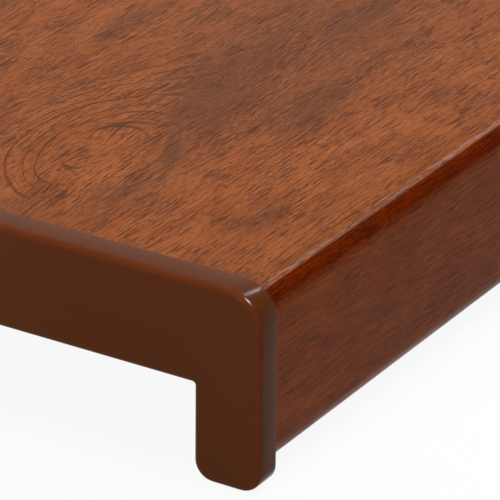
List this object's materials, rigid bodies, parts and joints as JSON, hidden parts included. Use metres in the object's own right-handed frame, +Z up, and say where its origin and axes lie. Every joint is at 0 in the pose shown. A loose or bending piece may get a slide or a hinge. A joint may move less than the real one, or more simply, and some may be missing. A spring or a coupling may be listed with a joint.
{
  "type": "window sill board",
  "caption": "Hollow plastic interior window sill board with a wood-grain film, an L-shaped front nose and a moulded brown cap on one end.",
  "frame": {"origin": "middle of the length and depth, at the foot of the end cap's nose, which is the lowest point", "axes": "+X along the board from the capped end to the sawn end, -Y is the front with the nose, +Y the back edge that goes under the window frame, +Z up from the top face"},
  "size_m": [1.002, 0.2512, 0.0433],
  "materials": {
    "woodgrain_film": "mahogany wood-grain film, satin, laminated on a brown hollow extrusion",
    "cap_plastic": "glossy dark brown moulded plastic"
  },
  "bodies": {
    "root": {"sill_board": "woodgrain_film", "end_cap": "cap_plastic"}
  },
  "joints": []
}
